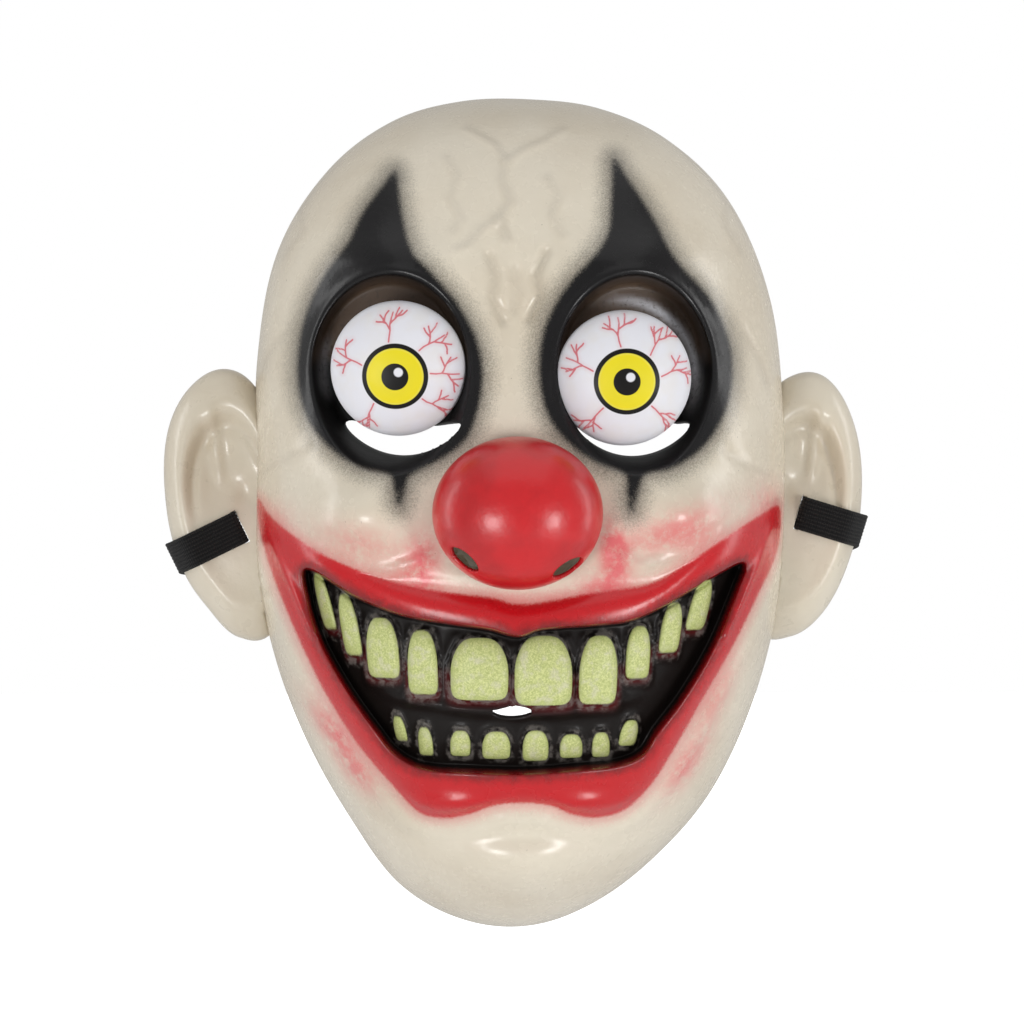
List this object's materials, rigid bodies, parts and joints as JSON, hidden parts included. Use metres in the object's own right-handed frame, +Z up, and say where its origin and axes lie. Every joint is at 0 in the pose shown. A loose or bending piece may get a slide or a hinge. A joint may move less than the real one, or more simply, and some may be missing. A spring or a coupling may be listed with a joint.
{
  "type": "clown mask",
  "caption": "Full-face moulded clown mask with bulging eyeballs, round nose, broad grin with raised teeth, ears and an elastic head strap.",
  "frame": {"origin": "middle of the mask's open back, in the plane of the shell's rear edge", "axes": "+Z up, the face looks along -Y, +X to the right of a viewer who faces the mask"},
  "size_m": [0.2114, 0.2184, 0.2485],
  "materials": {
    "shell": "glossy cream moulded plastic, hand painted",
    "eyeball": "glossy white with a printed iris",
    "post": "plain moulded plastic",
    "strap": "black ribbed woven elastic"
  },
  "bodies": {
    "root": {"mask_shell": "shell", "eyeball_left": "eyeball", "eyeball_right": "eyeball", "eye_post_left": "post", "eye_post_right": "post", "elastic_strap": "strap"}
  },
  "joints": []
}
